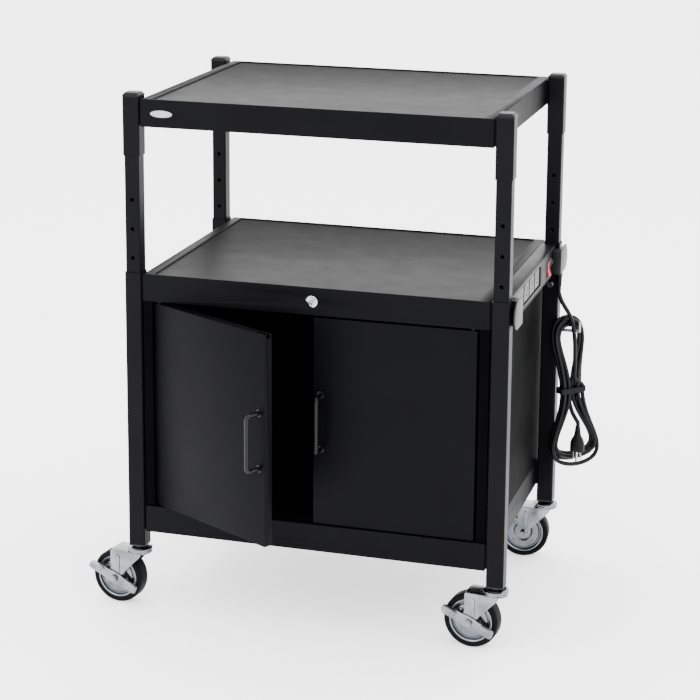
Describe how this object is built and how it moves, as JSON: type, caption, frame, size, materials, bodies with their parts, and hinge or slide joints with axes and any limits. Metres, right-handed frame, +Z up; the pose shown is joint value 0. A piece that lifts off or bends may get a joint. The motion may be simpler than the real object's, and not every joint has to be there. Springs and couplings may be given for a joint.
{
  "type": "projector cart",
  "caption": "Black steel AV cart with a two-door locking cabinet, a height-adjustable top shelf, a side outlet unit with a hung power cord and swivel casters.",
  "frame": {"origin": "on the floor, at the middle of the four legs", "axes": "+Z up, +X to the right as seen from the front, +Y from the door side to the back"},
  "size_m": [0.826, 0.6422, 0.9202],
  "materials": {
    "frame_paint": "satin black powder coat",
    "shelf_paint": "satin black powder coat",
    "panel_paint": "satin black powder coat",
    "door_paint": "satin black powder coat",
    "pull_paint": "satin black powder coat",
    "unit_paint": "satin black powder coat",
    "ear_plastic": "fine moulded texture",
    "cap_plastic": "moulded",
    "insert_plastic": "moulded",
    "outlet_plastic": "moulded",
    "rocker_red": "glossy translucent red",
    "bezel_metal": "satin nickel",
    "button_plastic": "moulded",
    "lock_chrome": "bright plated",
    "zinc_plate": "bright zinc plating",
    "pin_black": "satin black",
    "hook_metal": "bright wire",
    "disc_metal": "pressed zinc-plated disc",
    "tyre_rubber": "solid black rubber",
    "cord_rubber": "satin cord jacket",
    "plug_rubber": "moulded plug",
    "blade_metal": "nickel-plated brass",
    "tie_strap": "soft strap"
  },
  "bodies": {
    "cart": {"leg_front_left": "frame_paint", "leg_front_right": "frame_paint", "leg_back_left": "frame_paint", "leg_back_right": "frame_paint", "clamp_bolts": "zinc_plate", "bottom_shelf": "shelf_paint", "middle_shelf": "shelf_paint", "side_panel_left": "panel_paint", "side_panel_right": "panel_paint", "back_panel": "panel_paint", "pivot_pins": "pin_black", "lock_barrel": "lock_chrome", "unit_housing": "unit_paint", "outlet_strip": "outlet_plastic", "switch_frame": "outlet_plastic", "reset_bezel": "bezel_metal", "wrap_ears": "ear_plastic", "cord_gland": "cord_rubber", "cord_hook": "hook_metal", "caster_stems": "zinc_plate", "leg_inserts": "insert_plastic", "power_cord": "cord_rubber", "cord_hank": "cord_rubber", "plug_lead": "cord_rubber", "plug_body": "plug_rubber", "plug_blades": "blade_metal", "cord_tie": "tie_strap"},
    "top": {"post_front_left": "frame_paint", "post_front_right": "frame_paint", "post_back_left": "frame_paint", "post_back_right": "frame_paint", "top_sleeves": "frame_paint", "post_caps": "cap_plastic", "top_shelf": "shelf_paint"},
    "left_door": {"door_left": "door_paint", "pull_left": "pull_paint"},
    "right_door": {"door_right": "door_paint", "pull_right": "pull_paint"},
    "lock": {"lock_plug": "lock_chrome", "lock_cam": "lock_chrome"},
    "rocker": {"rocker_switch": "rocker_red"},
    "reset": {"reset_button": "button_plastic"},
    "caster_front_left": {"fork_front_left": "zinc_plate", "axle_front_left": "zinc_plate"},
    "wheel_front_left": {"hub_front_left": "disc_metal", "tyre_front_left": "tyre_rubber"},
    "brake_left": {"brake_front_left": "zinc_plate"},
    "caster_front_right": {"fork_front_right": "zinc_plate", "axle_front_right": "zinc_plate"},
    "wheel_front_right": {"hub_front_right": "disc_metal", "tyre_front_right": "tyre_rubber"},
    "brake_right": {"brake_front_right": "zinc_plate"},
    "caster_back_left": {"fork_back_left": "zinc_plate", "axle_back_left": "zinc_plate"},
    "wheel_back_left": {"hub_back_left": "disc_metal", "tyre_back_left": "tyre_rubber"},
    "caster_back_right": {"fork_back_right": "zinc_plate", "axle_back_right": "zinc_plate"},
    "wheel_back_right": {"hub_back_right": "disc_metal", "tyre_back_right": "tyre_rubber"}
  },
  "joints": [
    {"name": "top_height", "type": "slide", "parent": "cart", "child": "top", "axis": [0, 0, 1], "range_m": [-0.2032, 0]},
    {"name": "left_door_hinge", "type": "hinge", "parent": "cart", "child": "left_door", "pos_m": [-0.275, -0.221, 0.1925], "axis": [0, 0, -1], "range_deg": [-29, 81]},
    {"name": "right_door_hinge", "type": "hinge", "parent": "cart", "child": "right_door", "pos_m": [0.275, -0.221, 0.1925], "axis": [0, 0, 1], "range_deg": [0, 110]},
    {"name": "lock_turn", "type": "hinge", "parent": "cart", "child": "lock", "pos_m": [0, -0.2315, 0.58475], "axis": [0, 1, 0], "range_deg": [0, 90]},
    {"name": "switch_rock", "type": "hinge", "parent": "cart", "child": "rocker", "pos_m": [0.326, 0.1325, 0.578], "axis": [0, 1, 0], "range_deg": [0, 16]},
    {"name": "reset_press", "type": "slide", "parent": "cart", "child": "reset", "axis": [1, 0, 0], "range_m": [-0.002, 0], "stiffness_N_per_m": 400},
    {"name": "swivel_front_left", "type": "hinge", "parent": "cart", "child": "caster_front_left", "pos_m": [-0.3215, -0.2165, 0.115], "axis": [0, 0, 1], "continuous": true},
    {"name": "roll_front_left", "type": "hinge", "parent": "caster_front_left", "child": "wheel_front_left", "pos_m": [-0.36111, -0.21093, 0.048], "axis": [0.1392, 0.9903, 0], "continuous": true},
    {"name": "brake_press_left", "type": "hinge", "parent": "caster_front_left", "child": "brake_left", "pos_m": [-0.36111, -0.21093, 0.048], "axis": [0.1392, 0.9903, 0], "range_deg": [-12, 12]},
    {"name": "swivel_front_right", "type": "hinge", "parent": "cart", "child": "caster_front_right", "pos_m": [0.3215, -0.2165, 0.115], "axis": [0, 0, 1], "continuous": true},
    {"name": "roll_front_right", "type": "hinge", "parent": "caster_front_right", "child": "wheel_front_right", "pos_m": [0.28172, -0.21232, 0.048], "axis": [0.1045, 0.9945, 0], "continuous": true},
    {"name": "brake_press_right", "type": "hinge", "parent": "caster_front_right", "child": "brake_right", "pos_m": [0.28172, -0.21232, 0.048], "axis": [0.1045, 0.9945, 0], "range_deg": [-12, 12]},
    {"name": "swivel_back_left", "type": "hinge", "parent": "cart", "child": "caster_back_left", "pos_m": [-0.3215, 0.2165, 0.115], "axis": [0, 0, 1], "continuous": true},
    {"name": "roll_back_left", "type": "hinge", "parent": "caster_back_left", "child": "wheel_back_left", "pos_m": [-0.36135, 0.21999, 0.048], "axis": [0.0872, 0.9962, 0], "continuous": true},
    {"name": "swivel_back_right", "type": "hinge", "parent": "cart", "child": "caster_back_right", "pos_m": [0.3215, 0.2165, 0.115], "axis": [0, 0, 1], "continuous": true},
    {"name": "roll_back_right", "type": "hinge", "parent": "caster_back_right", "child": "wheel_back_right", "pos_m": [0.2816, 0.21371, 0.048], "axis": [-0.0698, 0.9976, 0], "continuous": true}
  ]
}
